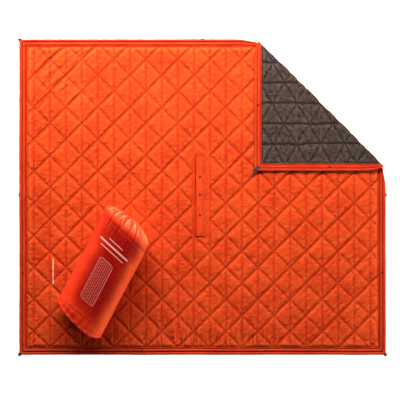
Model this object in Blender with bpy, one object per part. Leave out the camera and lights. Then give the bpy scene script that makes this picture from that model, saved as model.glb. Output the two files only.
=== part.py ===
# Quilted camp blanket with a poncho neck slit, one corner folded over, and its packed stuff sack.
# Units are metres, +Z is up, the face side of the blanket looks up and its lining rests on z = 0.
import math

import bpy
from mathutils import Matrix, Vector
from mathutils.geometry import delaunay_2d_cdt

# ---------------------------------------------------------------- overall size
BLANKET_LENGTH = 1.778  # along X
BLANKET_WIDTH = 1.531  # along Y
HX, HY = BLANKET_LENGTH / 2, BLANKET_WIDTH / 2

# ---------------------------------------------------------------- layers, from the ground up
GAP = 0.0003
LINING_Z = (0.0, 0.0030)
BATTING_Z = (0.0033, 0.0097)
SHELL_Z = (0.0100, 0.0120)

# ---------------------------------------------------------------- edge binding
BINDING_WIDTH = 0.036
BINDING_Z = (0.0024, 0.0084)

# ---------------------------------------------------------------- folded corner, a 45 degree fold
FOLD_LEG = 0.6395  # along each edge, from the fold to the corner
FOLD_SUM = HX + HY - FOLD_LEG  # the fold line is x + y = FOLD_SUM
FOLD_AXIS_Z = 0.0125
FOLD_SETBACK = 0.0003

# ---------------------------------------------------------------- neck slit and its placket
SLOT_X = (-0.0044, 0.0053)
SLOT_Y = (-0.1744, 0.1938)
PLACKET_X = (-0.0339, 0.0076)
PLACKET_Y = (-0.1890, 0.2083)
PLACKET_Z = (0.0139, 0.0159)
PLACKET_AXIS = (0.0084, 0.0151)  # x and z of its turning line
PLACKET_HEM_X = (0.0092, 0.0165)
PLACKET_HEM_Z = (0.0123, 0.0138)
NECK_SNAP_X = -0.0121
NECK_SNAP_Y = (0.0979, 0.0126, -0.0877)

# ---------------------------------------------------------------- snaps
SNAP_RADIUS = 0.0055
SNAP_HEIGHT = 0.0015
SNAP_INSET = 0.0200
BOTTOM_SNAP_X = (-0.5985, -0.2930, 0.3075, 0.6055)
TOP_SNAP_X = -0.5890
SIDE_SNAP_Y = -0.3680
CORNER_SNAP_TOP_X = 0.5695
CORNER_SNAP_RIGHT_Y = 0.4000

# ---------------------------------------------------------------- webbing loops
LOOP_HALF_WIDTH = 0.0080
LOOP_EYE_HALF_WIDTH = 0.0050
LOOP_REACH = 0.0120  # past the blanket's edge, along X or Y
LOOP_Z = (0.0004, 0.0019)
LOOP_ROOT = 0.0008
LOOP_AXIS_OUT = 0.0016
TAB_LENGTH = 0.0350
TAB_HALF_WIDTH = 0.0080
TOP_LOOP_X = 0.0
SIDE_LOOP_Y = 0.0100

# ---------------------------------------------------------------- stuff sack
SACK_BASE = (-0.5904, -0.5790)  # centre of the base seam, on plan
SACK_DIRECTION = (0.461, 0.887)  # from the base to the mouth
SACK_LENGTH = 0.487  # seam to seam
SACK_HALF_WIDTH = 0.135
SACK_HALF_HEIGHT = 0.100
SACK_WALL = 0.0020
SACK_SKEW = -0.268  # the ends lean this far along the sack for each metre across it
SACK_END_DEPTH = 0.050
SACK_BOTTOM_Z = 0.0126
SACK_SQUARENESS = 2.5
MOUTH_PUCKER = 0.09  # the gathered hole, as a share of the sack's width

for old in list(bpy.data.objects):
    bpy.data.objects.remove(old, do_unlink=True)


# ---------------------------------------------------------------- materials
def material(name, colour, roughness, metallic=0.0):
    made = bpy.data.materials.new(name)
    made.use_nodes = True
    shader = made.node_tree.nodes["Principled BSDF"]
    shader.inputs["Base Color"].default_value = (*colour, 1.0)
    shader.inputs["Roughness"].default_value = roughness
    shader.inputs["Metallic"].default_value = metallic
    return made


SHELL = material("shell_nylon", (0.76, 0.075, 0.018), 0.55)
BINDING = material("binding_nylon", (0.70, 0.060, 0.018), 0.50)
FLEECE = material("fleece", (0.082, 0.053, 0.044), 0.95)
FILL = material("fill", (0.80, 0.78, 0.74), 0.90)
SNAP = material("snap_plastic", (0.16, 0.012, 0.010), 0.40)
WEBBING = material("webbing", (0.045, 0.040, 0.022), 0.80)
SACK = material("sack_nylon", (0.66, 0.040, 0.016), 0.42)


# ---------------------------------------------------------------- frames
def empty(name, place):
    made = bpy.data.objects.new(name, None)
    made.location = place
    bpy.context.scene.collection.objects.link(made)
    made.hide_render = True
    return made


def solid(name, points, faces, look, parent=None, at=(0.0, 0.0, 0.0)):
    """A closed mesh from points in the blanket's frame, with its origin at `at`."""
    origin = Vector(at)
    mesh = bpy.data.meshes.new(name)
    mesh.from_pydata([tuple(Vector(p) - origin) for p in points], [], faces)
    mesh.validate()
    mesh.update()
    mesh.materials.append(look)
    made = bpy.data.objects.new(name, mesh)
    bpy.context.scene.collection.objects.link(made)
    if parent is not None:
        made.parent = parent
        made.location = origin - parent.location
    else:
        made.location = origin
    return made


def unfolded_to_folded(p):
    """Half a turn about the fold line."""
    return (FOLD_SUM - p[1], FOLD_SUM - p[0], 2 * FOLD_AXIS_Z - p[2])


def inside(p, loop):
    hit = False
    for (x0, y0), (x1, y1) in zip(loop, loop[1:] + loop[:1]):
        if (y0 > p[1]) != (y1 > p[1]) and p[0] < (x1 - x0) * (p[1] - y0) / (y1 - y0) + x0:
            hit = not hit
    return hit


def plate(outer, holes, low, high):
    """Points and faces of a flat slab; outer runs anticlockwise."""
    loops = [list(outer)] + [list(h) for h in holes]
    flat = [Vector(p) for loop in loops for p in loop]
    edges, start = [], 0
    for loop in loops:
        n = len(loop)
        edges += [(start + i, start + (i + 1) % n) for i in range(n)]
        start += n
    cut = delaunay_2d_cdt(flat, edges, [], 0, 1e-7)
    spots, triangles, back = cut[0], cut[2], cut[3]
    where = {}
    for new, olds in enumerate(back):
        for old in olds:
            where[old] = new
    n = len(spots)
    points = [(p[0], p[1], low) for p in spots] + [(p[0], p[1], high) for p in spots]
    faces = []
    for t in triangles:
        mid = [sum(spots[i][k] for i in t) / len(t) for k in (0, 1)]
        if inside(mid, loops[0]) and not any(inside(mid, h) for h in loops[1:]):
            a, b, c = t
            turn = (spots[b][0] - spots[a][0]) * (spots[c][1] - spots[a][1]) - (spots[b][1] - spots[a][1]) * (spots[c][0] - spots[a][0])
            if turn < 0:
                b, c = c, b
            faces += [(a + n, b + n, c + n), (a, c, b)]
    start = 0
    for k, loop in enumerate(loops):
        m = len(loop)
        area = sum(loop[i][0] * loop[(i + 1) % m][1] - loop[(i + 1) % m][0] * loop[i][1] for i in range(m))
        order = list(range(m)) if (area > 0) == (k == 0) else list(range(m))[::-1]
        for i in range(m):
            a, b = where[start + order[i]], where[start + order[(i + 1) % m]]
            faces.append((a, b, b + n, a + n))
        start += m
    return points, faces


def band(start, end, inward, miter_start, miter_end, z, width=BINDING_WIDTH):
    """A folded tape along an edge; each end is cut at 45 degrees, +1 shortens its inner side."""
    low, high = z
    r = (high - low) / 2
    middle = (high + low) / 2
    profile = [(r - r * math.cos(a), middle + r * math.sin(a)) for a in [math.radians(d) for d in (-90, -60, -30, 0, 30, 60, 90)]]
    profile += [(width - 0.001, high), (width, high - 0.001), (width, low + 0.001), (width - 0.001, low)]
    along = (Vector(end) - Vector(start)).normalized()
    inn = Vector(inward)
    rings = []
    for base, sign, miter in ((Vector(start), 1, miter_start), (Vector(end), -1, miter_end)):
        ring = []
        for w, h in profile:
            at = base + inn * w + along * sign * (miter * w + 0.00025)
            ring.append((at.x, at.y, h))
        rings.append(ring)
    n = len(profile)
    points = rings[0] + rings[1]
    turn = along.x * inn.y - along.y * inn.x
    faces = []
    for i in range(n):
        j = (i + 1) % n
        quad = (i, j, j + n, i + n)
        faces.append(quad[::-1] if turn > 0 else quad)
    caps = [tuple(range(n)), tuple(range(2 * n - 1, n - 1, -1))]
    faces += caps if turn > 0 else [c[::-1] for c in caps]
    return points, faces


def button(x, y, low, high, radius, sides=24):
    """A low domed disc."""
    levels = [(0.90, 0.0), (1.0, 0.18), (1.0, 0.50), (0.90, 0.80), (0.62, 1.0)]
    points, faces = [], []
    for share, up in levels:
        for i in range(sides):
            a = 2 * math.pi * i / sides
            points.append((x + radius * share * math.cos(a), y + radius * share * math.sin(a), low + up * (high - low)))
    for k in range(len(levels) - 1):
        for i in range(sides):
            j = (i + 1) % sides
            faces.append((k * sides + i, k * sides + j, (k + 1) * sides + j, (k + 1) * sides + i))
    faces.append(tuple(range(sides))[::-1])
    last = (len(levels) - 1) * sides
    faces.append(tuple(range(last, last + sides)))
    return points, faces


def flipped(points, faces):
    """The same solid carried over the fold."""
    return [unfolded_to_folded(p) for p in points], faces


# ---------------------------------------------------------------- main layers
IN = BINDING_WIDTH + GAP
ix, iy = HX - IN, HY - IN
s2 = FOLD_SETBACK * math.sqrt(2)
MAIN_OUTLINE = [(-ix, -iy), (ix, -iy), (ix, FOLD_SUM - s2 - ix), (FOLD_SUM - s2 - iy, iy), (-ix, iy)]
SLOT = [(SLOT_X[0], SLOT_Y[0]), (SLOT_X[1], SLOT_Y[0]), (SLOT_X[1], SLOT_Y[1]), (SLOT_X[0], SLOT_Y[1])]
solid("lining", *plate(MAIN_OUTLINE, [SLOT], *LINING_Z), FLEECE)
solid("batting", *plate(MAIN_OUTLINE, [SLOT], *BATTING_Z), FILL)
solid("shell", *plate(MAIN_OUTLINE, [SLOT], *SHELL_Z), SHELL)

# ---------------------------------------------------------------- main bindings
ax = FOLD_SUM - HY  # where the fold meets the top edge
by = FOLD_SUM - HX  # where the fold meets the right edge
solid("binding_bottom", *band((-HX, -HY), (HX, -HY), (0, 1), 1, 1, BINDING_Z), BINDING)
solid("binding_left", *band((-HX, HY), (-HX, -HY), (1, 0), 1, 1, BINDING_Z), BINDING)
solid("binding_top", *band((ax, HY), (-HX, HY), (0, -1), -1, 1, BINDING_Z), BINDING)
solid("binding_right", *band((HX, -HY), (HX, by), (-1, 0), 1, -1, BINDING_Z), BINDING)

# ---------------------------------------------------------------- snaps on the blanket
cap_low = BINDING_Z[1] + GAP
cap = (cap_low, cap_low + SNAP_HEIGHT)
for i, x in enumerate(BOTTOM_SNAP_X, 1):
    solid(f"snap_bottom_{i}", *button(x, -HY + SNAP_INSET, *cap, SNAP_RADIUS), SNAP)
solid("snap_top", *button(TOP_SNAP_X, HY - SNAP_INSET, *cap, SNAP_RADIUS), BINDING)
solid("snap_left", *button(-HX + SNAP_INSET, SIDE_SNAP_Y, *cap, SNAP_RADIUS), SNAP)
solid("snap_right", *button(HX - SNAP_INSET, SIDE_SNAP_Y, *cap, SNAP_RADIUS), SNAP)
for i, y in enumerate(NECK_SNAP_Y, 1):
    solid(f"neck_stud_{i}", *button(NECK_SNAP_X, y, SHELL_Z[1] + GAP, SHELL_Z[1] + GAP + 0.0012, 0.004), SNAP)
hem = [(PLACKET_HEM_X[0], PLACKET_Y[0]), (PLACKET_HEM_X[1], PLACKET_Y[0]), (PLACKET_HEM_X[1], PLACKET_Y[1]), (PLACKET_HEM_X[0], PLACKET_Y[1])]
solid("placket_hem", *plate(hem, [], *PLACKET_HEM_Z), BINDING)

# ---------------------------------------------------------------- placket over the neck slit
placket_pivot = empty("placket_pivot", (PLACKET_AXIS[0], 0.0, PLACKET_AXIS[1]))
panel = [(PLACKET_X[0], PLACKET_Y[0]), (PLACKET_X[1], PLACKET_Y[0]), (PLACKET_X[1], PLACKET_Y[1]), (PLACKET_X[0], PLACKET_Y[1])]
solid("placket", *plate(panel, [], *PLACKET_Z), BINDING, placket_pivot, placket_pivot.location)
for i, y in enumerate(NECK_SNAP_Y, 1):
    low = PLACKET_Z[1] + GAP
    solid(f"placket_cap_{i}", *button(NECK_SNAP_X, y, low, low + SNAP_HEIGHT, SNAP_RADIUS), SNAP, placket_pivot, placket_pivot.location)

# ---------------------------------------------------------------- folded corner
corner_pivot = empty("corner_pivot", (ax, HY, FOLD_AXIS_Z))
CORNER_OUTLINE = [(FOLD_SUM + s2 - iy, iy), (ix, FOLD_SUM + s2 - ix), (ix, iy)]


def corner_part(name, shape, look):
    return solid(name, *flipped(*shape), look, corner_pivot, corner_pivot.location)


corner_part("corner_lining", plate(CORNER_OUTLINE, [], *LINING_Z), FLEECE)
corner_part("corner_batting", plate(CORNER_OUTLINE, [], *BATTING_Z), FILL)
corner_part("corner_shell", plate(CORNER_OUTLINE, [], *SHELL_Z), SHELL)
corner_part("corner_binding_top", band((HX, HY), (ax, HY), (0, -1), 1, 1, BINDING_Z), BINDING)
corner_part("corner_binding_right", band((HX, by), (HX, HY), (-1, 0), 1, 1, BINDING_Z), BINDING)
stud = (BINDING_Z[0] - GAP - SNAP_HEIGHT, BINDING_Z[0] - GAP)
corner_part("corner_snap_top", button(CORNER_SNAP_TOP_X, HY - SNAP_INSET, *stud, SNAP_RADIUS), SNAP)
corner_part("corner_snap_right", button(HX - SNAP_INSET, CORNER_SNAP_RIGHT_Y, *stud, SNAP_RADIUS), SNAP)


# ---------------------------------------------------------------- loops and the tabs that hold them
def local(out, at):
    o = Vector((out[0], out[1])).normalized()
    side = Vector((-o.y, o.x))
    return lambda t, s: (at[0] + o.x * t + side.x * s, at[1] + o.y * t + side.y * s)


def tab_shape(out, at, start):
    put = local(out, at)
    return plate([put(start, -TAB_HALF_WIDTH), put(0.0003, -TAB_HALF_WIDTH), put(0.0003, TAB_HALF_WIDTH), put(start, TAB_HALF_WIDTH)], [], *LOOP_Z)


def loop_shape(out, at, centre):
    put = local(out, at)
    w, e = LOOP_HALF_WIDTH, LOOP_EYE_HALF_WIDTH
    outer = [put(LOOP_ROOT, -w)] + [put(centre + w * math.cos(a), w * math.sin(a)) for a in [math.radians(d) for d in range(-90, 91, 15)]] + [put(LOOP_ROOT, w)]
    eye = [put(LOOP_ROOT + 0.002, -e)] + [put(centre + e * math.cos(a), e * math.sin(a)) for a in [math.radians(d) for d in range(-90, 91, 18)]] + [put(LOOP_ROOT + 0.002, e)]
    return plate(outer, [eye], *LOOP_Z)


def loop_axis(out, at):
    x, y = local(out, at)(LOOP_AXIS_OUT, 0.0)
    return (x, y, (LOOP_Z[0] + LOOP_Z[1]) / 2)


STRAIGHT = LOOP_REACH - LOOP_HALF_WIDTH
DIAGONAL = STRAIGHT * math.sqrt(2)
LOOPS = {
    "tl": ((-1, 1), (-HX, HY)),
    "bl": ((-1, -1), (-HX, -HY)),
    "br": ((1, -1), (HX, -HY)),
    "top": ((0, 1), (TOP_LOOP_X, HY)),
    "left": ((-1, 0), (-HX, SIDE_LOOP_Y)),
    "right": ((1, 0), (HX, SIDE_LOOP_Y)),
}
for key, (out, at) in LOOPS.items():
    diagonal = abs(out[0]) + abs(out[1]) == 2
    solid(f"tab_{key}", *tab_shape(out, at, -TAB_LENGTH), WEBBING)
    turn = empty(f"loop_{key}_pivot", loop_axis(out, at))
    solid(f"loop_{key}", *loop_shape(out, at, DIAGONAL if diagonal else STRAIGHT), WEBBING, turn, turn.location)
corner_part("corner_tab", tab_shape((1, 1), (HX, HY), -TAB_LENGTH), WEBBING)
place = unfolded_to_folded(loop_axis((1, 1), (HX, HY)))
corner_loop_pivot = empty("loop_corner_pivot", place)
corner_loop_pivot.parent = corner_pivot
corner_loop_pivot.location = Vector(place) - Vector((ax, HY, FOLD_AXIS_Z))
points, faces = flipped(*loop_shape((1, 1), (HX, HY), DIAGONAL))
mesh_at = Vector(place)
loop_corner = solid("loop_corner", points, faces, WEBBING, None, mesh_at)
loop_corner.parent = corner_loop_pivot
loop_corner.location = (0.0, 0.0, 0.0)

# ---------------------------------------------------------------- stuff sack
AXIS = Vector((*SACK_DIRECTION, 0.0)).normalized()
ACROSS = Vector((AXIS.y, -AXIS.x, 0.0))
SACK_CENTRE_Z = SACK_BOTTOM_Z + SACK_HALF_HEIGHT
sack_pivot = empty("sack_pivot", (*SACK_BASE, SACK_CENTRE_Z))
AROUND = 40


def around(half_width, half_height):
    loop = []
    for i in range(AROUND):
        a = 2 * math.pi * i / AROUND
        c, s = math.cos(a), math.sin(a)
        e = 2 / SACK_SQUARENESS
        loop.append((half_width * math.copysign(abs(c) ** e, c), half_height * math.copysign(abs(s) ** e, s)))
    return loop


def sack_point(t, x, z):
    p = Vector((*SACK_BASE, SACK_CENTRE_Z)) + AXIS * (t + SACK_SKEW * x) + ACROSS * x
    return (p.x, p.y, p.z + z)


def loft(rings, close):
    """Rings of points joined in order; `close` joins the last ring to the first, else both ends are capped."""
    n = len(rings[0])
    points = [p for r in rings for p in r]
    faces = []
    m = len(rings)
    for k in range(m if close else m - 1):
        a, b = k * n, ((k + 1) % m) * n
        for i in range(n):
            j = (i + 1) % n
            faces.append((a + i, a + j, b + j, b + i))
    if not close:
        faces.append(tuple(range(n))[::-1])
        faces.append(tuple(range((m - 1) * n, m * n)))
    return points, faces


def ring(t, scale, wall=0.0):
    return [sack_point(t, x * scale, z * scale) for x, z in around(SACK_HALF_WIDTH - wall, SACK_HALF_HEIGHT - wall)]


def outward(points, faces):
    volume = 0.0
    for f in faces:
        for i in range(1, len(f) - 1):
            a, b, c = (Vector(points[f[k]]) for k in (0, i, i + 1))
            volume += a.dot(b.cross(c))
    return (points, faces) if volume > 0 else (points, [f[::-1] for f in faces])


def sack_part(name, shape):
    return solid(name, *outward(*shape), SACK, sack_pivot, sack_pivot.location)


steps = [k / 12 for k in range(13)]
side_rings = [ring(0.0004 + (SACK_LENGTH - 0.0008) * k, 1.0) for k in steps]
side_rings += [ring(0.0004 + (SACK_LENGTH - 0.0008) * k, 1.0, SACK_WALL) for k in reversed(steps)]
sack_part("sack_side", loft(side_rings, True))


def dome(sign, start, depth, inner, last=0.0):
    """Ring scales and places over a rounded end; last is the share of the width left open."""
    out = []
    for k in range(9):
        u = k / 8
        share = 1.0 - (1.0 - last) * u
        rise = depth * (1 - share ** 2.6) ** (1 / 2.0)
        out.append(ring(start + sign * max(rise, 0.0), share if share > 0.02 else 0.02, inner))
    return out


base_outer = dome(-1, -0.0034, SACK_END_DEPTH - 0.0034, 0.0)
base_inner = dome(-1, -0.0034, SACK_END_DEPTH - 0.0034 - SACK_WALL, SACK_WALL)
base_points, base_faces = loft(list(reversed(base_outer)) + base_inner, False)
sack_part("sack_base", (base_points, base_faces))
mouth_start = SACK_LENGTH + 0.0034
mouth_outer = dome(1, mouth_start, SACK_END_DEPTH - 0.0034, 0.0, MOUTH_PUCKER)
mouth_inner = dome(1, mouth_start, SACK_END_DEPTH - 0.0034 - SACK_WALL, SACK_WALL, MOUTH_PUCKER)
sack_part("sack_mouth", loft(mouth_outer + list(reversed(mouth_inner)), True))


def piping(t, radius=0.0012):
    rings = []
    for x, z in around(SACK_HALF_WIDTH - 0.001, SACK_HALF_HEIGHT - 0.001):
        out = Vector((x / (SACK_HALF_WIDTH ** 2), z / (SACK_HALF_HEIGHT ** 2))).normalized()
        rings.append([sack_point(t + radius * math.sin(a), x + out.x * radius * math.cos(a), z + out.y * radius * math.cos(a)) for a in [2 * math.pi * k / 8 for k in range(8)]])
    return loft(rings, True)


sack_part("sack_base_piping", piping(-0.0015))
sack_part("sack_mouth_hem", piping(SACK_LENGTH + 0.0015))
IN_WALL = SACK_WALL + 0.0020
inner_depth = SACK_END_DEPTH - 0.0034 - SACK_WALL - 0.0030
roll = list(reversed(dome(-1, -0.0034, inner_depth, IN_WALL))) + dome(1, mouth_start, inner_depth, IN_WALL)
points, faces = outward(*loft(roll, False))
solid("sack_roll", points, faces, FILL, sack_pivot, sack_pivot.location)
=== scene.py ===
# Looks of the camp blanket: quilted shell, fleece lining, bound edges, placket, snaps, loops and stuff sack.
import math

import bpy
import numpy as np
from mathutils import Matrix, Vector


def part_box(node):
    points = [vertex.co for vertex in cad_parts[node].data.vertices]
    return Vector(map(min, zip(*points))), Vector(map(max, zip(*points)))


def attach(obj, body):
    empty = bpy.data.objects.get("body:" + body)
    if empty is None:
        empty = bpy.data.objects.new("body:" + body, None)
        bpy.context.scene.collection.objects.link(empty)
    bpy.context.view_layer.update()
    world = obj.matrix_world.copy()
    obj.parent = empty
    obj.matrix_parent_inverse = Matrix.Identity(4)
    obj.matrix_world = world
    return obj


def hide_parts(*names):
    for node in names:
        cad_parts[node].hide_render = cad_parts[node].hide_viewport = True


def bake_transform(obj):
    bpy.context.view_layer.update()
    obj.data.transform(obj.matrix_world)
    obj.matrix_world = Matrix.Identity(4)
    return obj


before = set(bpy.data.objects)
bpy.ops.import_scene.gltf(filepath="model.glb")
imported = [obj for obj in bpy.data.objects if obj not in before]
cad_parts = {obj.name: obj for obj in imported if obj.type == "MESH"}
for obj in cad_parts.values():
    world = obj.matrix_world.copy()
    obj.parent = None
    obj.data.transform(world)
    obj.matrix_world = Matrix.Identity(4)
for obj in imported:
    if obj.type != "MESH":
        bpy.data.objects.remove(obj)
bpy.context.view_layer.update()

# ---------------------------------------------------------------- sizes, as in the CAD model
HX, HY = 0.889, 0.7655
FOLD_SUM = HX + HY - 0.6395
AXIS_Z = 0.0125
BIND_W = 0.036
BIND_LOW, BIND_TOP = 0.0024, 0.0084
SLOT_X, SLOT_Y = (-0.0044, 0.0053), (-0.1744, 0.1938)
PLACKET_X, PLACKET_Y, PLACKET_Z = (-0.0339, 0.0076), (-0.1890, 0.2083), (0.0139, 0.0159)
NECK_X, NECK_Y = -0.0121, (0.0979, 0.0126, -0.0877)
SQ2 = math.sqrt(2)

# quilting of the face: vertical rows and both diagonals
QUILT_P = 0.0776
QUILT_X, QUILT_Y = -0.6628, 0.5896
FACE_STITCH_Z, FACE_LOFT = 0.0062, 0.0048
# quilting as the lining shows it, in the folded corner's place
ROW_P, ROW_W = 0.0995, 0.1168
ROW_X, ROW_Y = 0.3392, 0.2578


# ---------------------------------------------------------------- helpers
def noise(x, y, scale, seed, octaves=3, gain=0.5):
    total, amp, norm = 0.0, 1.0, 0.0
    for k in range(octaves):
        table = np.random.default_rng(seed * 97 + k).uniform(-1, 1, (256, 256))
        fx, fy = np.asarray(x) / scale * 2**k + 37.3, np.asarray(y) / scale * 2**k + 11.7
        ix, iy = np.floor(fx).astype(int), np.floor(fy).astype(int)
        tx, ty = fx - ix, fy - iy
        tx, ty = tx * tx * (3 - 2 * tx), ty * ty * (3 - 2 * ty)
        ix, iy = ix % 256, iy % 256
        jx, jy = (ix + 1) % 256, (iy + 1) % 256
        v = (table[ix, iy] * (1 - tx) + table[jx, iy] * tx) * (1 - ty) + (table[ix, jy] * (1 - tx) + table[jx, jy] * tx) * ty
        total, norm, amp = total + amp * v, norm + amp, amp * gain
    return total / norm


def smooth(lo, hi, v):
    t = np.clip((np.asarray(v, float) - lo) / (hi - lo), 0, 1)
    return t * t * (3 - 2 * t)


def make(name, points, faces, look, flat=None, body="blanket", extra=None):
    """A smooth-shaded mesh; flat gives each point's place on the flat cut, in metres, for the material."""
    mesh = bpy.data.meshes.new(name)
    mesh.from_pydata(np.asarray(points, float).reshape(-1, 3).tolist(), [], [list(map(int, f)) for f in faces])
    mesh.update()
    mesh.shade_smooth()
    if flat is not None:
        flat = np.asarray(flat, np.float32).reshape(-1, 2)
        corner = np.zeros(len(mesh.loops), np.int32)
        mesh.loops.foreach_get("vertex_index", corner)
        layer = mesh.uv_layers.new(name="flat")
        layer.data.foreach_set("uv", flat[corner].ravel())
    for key, values in (extra or {}).items():
        mesh.attributes.new(key, "FLOAT", "POINT").data.foreach_set("value", np.asarray(values, np.float32).ravel())
    mesh.materials.append(look)
    piece = bpy.data.objects.new(name, mesh)
    bpy.context.scene.collection.objects.link(piece)
    if body:
        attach(piece, body)
    return piece


def grid_faces(n, m, wrap_n=False, wrap_m=False):
    a = np.arange(n * m).reshape(n, m)
    i = np.arange(n if wrap_n else n - 1)[:, None]
    j = np.arange(m if wrap_m else m - 1)[None, :]
    i2, j2 = (i + 1) % n, (j + 1) % m
    return np.stack([a[i, j], a[i2, j], a[i2, j2], a[i, j2]], -1).reshape(-1, 4)


def tube(rings, closed_ring=True, caps=True):
    """Rings of points (n, m, 3) joined into a closed skin."""
    rings = np.asarray(rings, float)
    n, m = rings.shape[:2]
    faces = [tuple(f) for f in grid_faces(n, m, False, closed_ring)]
    if caps:
        faces += [tuple(range(m)), tuple(range(n * m - 1, (n - 1) * m - 1, -1))]
    return rings.reshape(-1, 3), faces


def outward(points, faces):
    p = np.asarray(points, float)
    volume = 0.0
    for f in faces:
        for k in range(1, len(f) - 1):
            volume += np.dot(p[f[0]], np.cross(p[f[k]], p[f[k + 1]]))
    return points, (faces if volume > 0 else [tuple(f)[::-1] for f in faces])


def folded(p):
    """From the flat blanket to the turned-over corner's place."""
    p = np.asarray(p, float)
    return np.stack([FOLD_SUM - p[..., 1], FOLD_SUM - p[..., 0], 2 * AXIS_Z - p[..., 2]], -1)


# ---------------------------------------------------------------- materials
class Graph:
    def __init__(self, name, colour, roughness):
        self.material = bpy.data.materials.new(name)
        self.material.use_nodes = True
        self.tree = self.material.node_tree
        self.shader = self.tree.nodes["Principled BSDF"]
        self.shader.inputs["Base Color"].default_value = (*colour, 1)
        self.shader.inputs["Roughness"].default_value = roughness
        self.material.diffuse_color = (*colour, 1)

    def node(self, kind, **values):
        made = self.tree.nodes.new(kind)
        for key, value in values.items():
            setattr(made, key, value)
        return made

    def link(self, a, b):
        self.tree.links.new(a, b)

    def put(self, socket, value):
        if isinstance(value, (int, float)):
            socket.default_value = value
        elif isinstance(value, tuple):
            socket.default_value = value
        else:
            self.link(value, socket)

    def math(self, op, a, b=None, c=None, clamp=False):
        n = self.node("ShaderNodeMath", operation=op, use_clamp=clamp)
        for socket, value in zip(n.inputs, (a, b, c)):
            if value is not None:
                self.put(socket, value)
        return n.outputs[0]

    def flat(self):
        n = self.node("ShaderNodeUVMap", uv_map="flat")
        s = self.node("ShaderNodeSeparateXYZ")
        self.link(n.outputs[0], s.inputs[0])
        return s.outputs[0], s.outputs[1], n.outputs[0]

    def noise(self, scale, detail=3.0, rough=0.5, vector=None, distort=0.0):
        n = self.node("ShaderNodeTexNoise")
        n.inputs["Scale"].default_value = scale
        n.inputs["Detail"].default_value = detail
        n.inputs["Roughness"].default_value = rough
        n.inputs["Distortion"].default_value = distort
        if vector is None:
            vector = self.node("ShaderNodeTexCoord").outputs["Object"]
        self.link(vector, n.inputs["Vector"])
        return n.outputs["Fac"]

    def range(self, value, a, b, c=0.0, d=1.0, smoothed=True):
        n = self.node("ShaderNodeMapRange", interpolation_type="SMOOTHSTEP" if smoothed else "LINEAR")
        self.put(n.inputs["Value"], value)
        for key, v in (("From Min", a), ("From Max", b), ("To Min", c), ("To Max", d)):
            self.put(n.inputs[key], v)
        return n.outputs["Result"]

    def mix(self, factor, a, b, blend="MIX"):
        n = self.node("ShaderNodeMix", data_type="RGBA", blend_type=blend)
        self.put(n.inputs["Factor"], factor)
        for socket, value in ((n.inputs["A"], a), (n.inputs["B"], b)):
            pass
        sockets = [s for s in n.inputs if s.type == "RGBA"]
        for socket, value in zip(sockets, (a, b)):
            if isinstance(value, tuple):
                socket.default_value = (*value, 1)
            else:
                self.link(value, socket)
        return [s for s in n.outputs if s.type == "RGBA"][0]

    def bump(self, height, distance, strength=1.0, normal=None):
        n = self.node("ShaderNodeBump")
        n.inputs["Distance"].default_value = distance
        n.inputs["Strength"].default_value = strength
        self.link(height, n.inputs["Height"])
        if normal is not None:
            self.link(normal, n.inputs["Normal"])
        return n.outputs["Normal"]

    def attribute(self, name):
        return self.node("ShaderNodeAttribute", attribute_name=name).outputs["Fac"]

    def paint_shade_and_highlight(self, base, painted_dark, light=None):
        """Painted shade down in the relief's hollows, painted highlight on its ridges."""
        cavity = self.attribute("cavity")
        base = self.mix(self.math("MULTIPLY", self.range(cavity, 0.05, 1.0), painted_dark[0]), base, painted_dark[1])
        if light is not None:
            base = self.mix(self.math("MULTIPLY", self.range(cavity, -0.05, -0.8), light[0]), base, light[1])
        return base

    def done(self, colour=None, normal=None, roughness=None):
        if colour is not None:
            self.link(colour, self.shader.inputs["Base Color"])
        if normal is not None:
            self.link(normal, self.shader.inputs["Normal"])
        if roughness is not None:
            self.link(roughness, self.shader.inputs["Roughness"])
        return self.material


def near_line(g, value, pitch, width):
    """Distance in metres to the nearest of a family of parallel lines; width scales it to metres."""
    return g.math("MULTIPLY", g.math("PINGPONG", g.math("DIVIDE", value, pitch), 0.5), pitch * width)


def weave(g, u, v, pitch, strength=0.06, normal=None):
    """Plain-weave bump on the flat cut."""
    k = 2 * math.pi / pitch
    a = g.math("SINE", g.math("MULTIPLY", u, k))
    b = g.math("SINE", g.math("MULTIPLY", v, k))
    return g.bump(g.math("MULTIPLY", a, b), pitch * 0.25, strength, normal)


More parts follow.
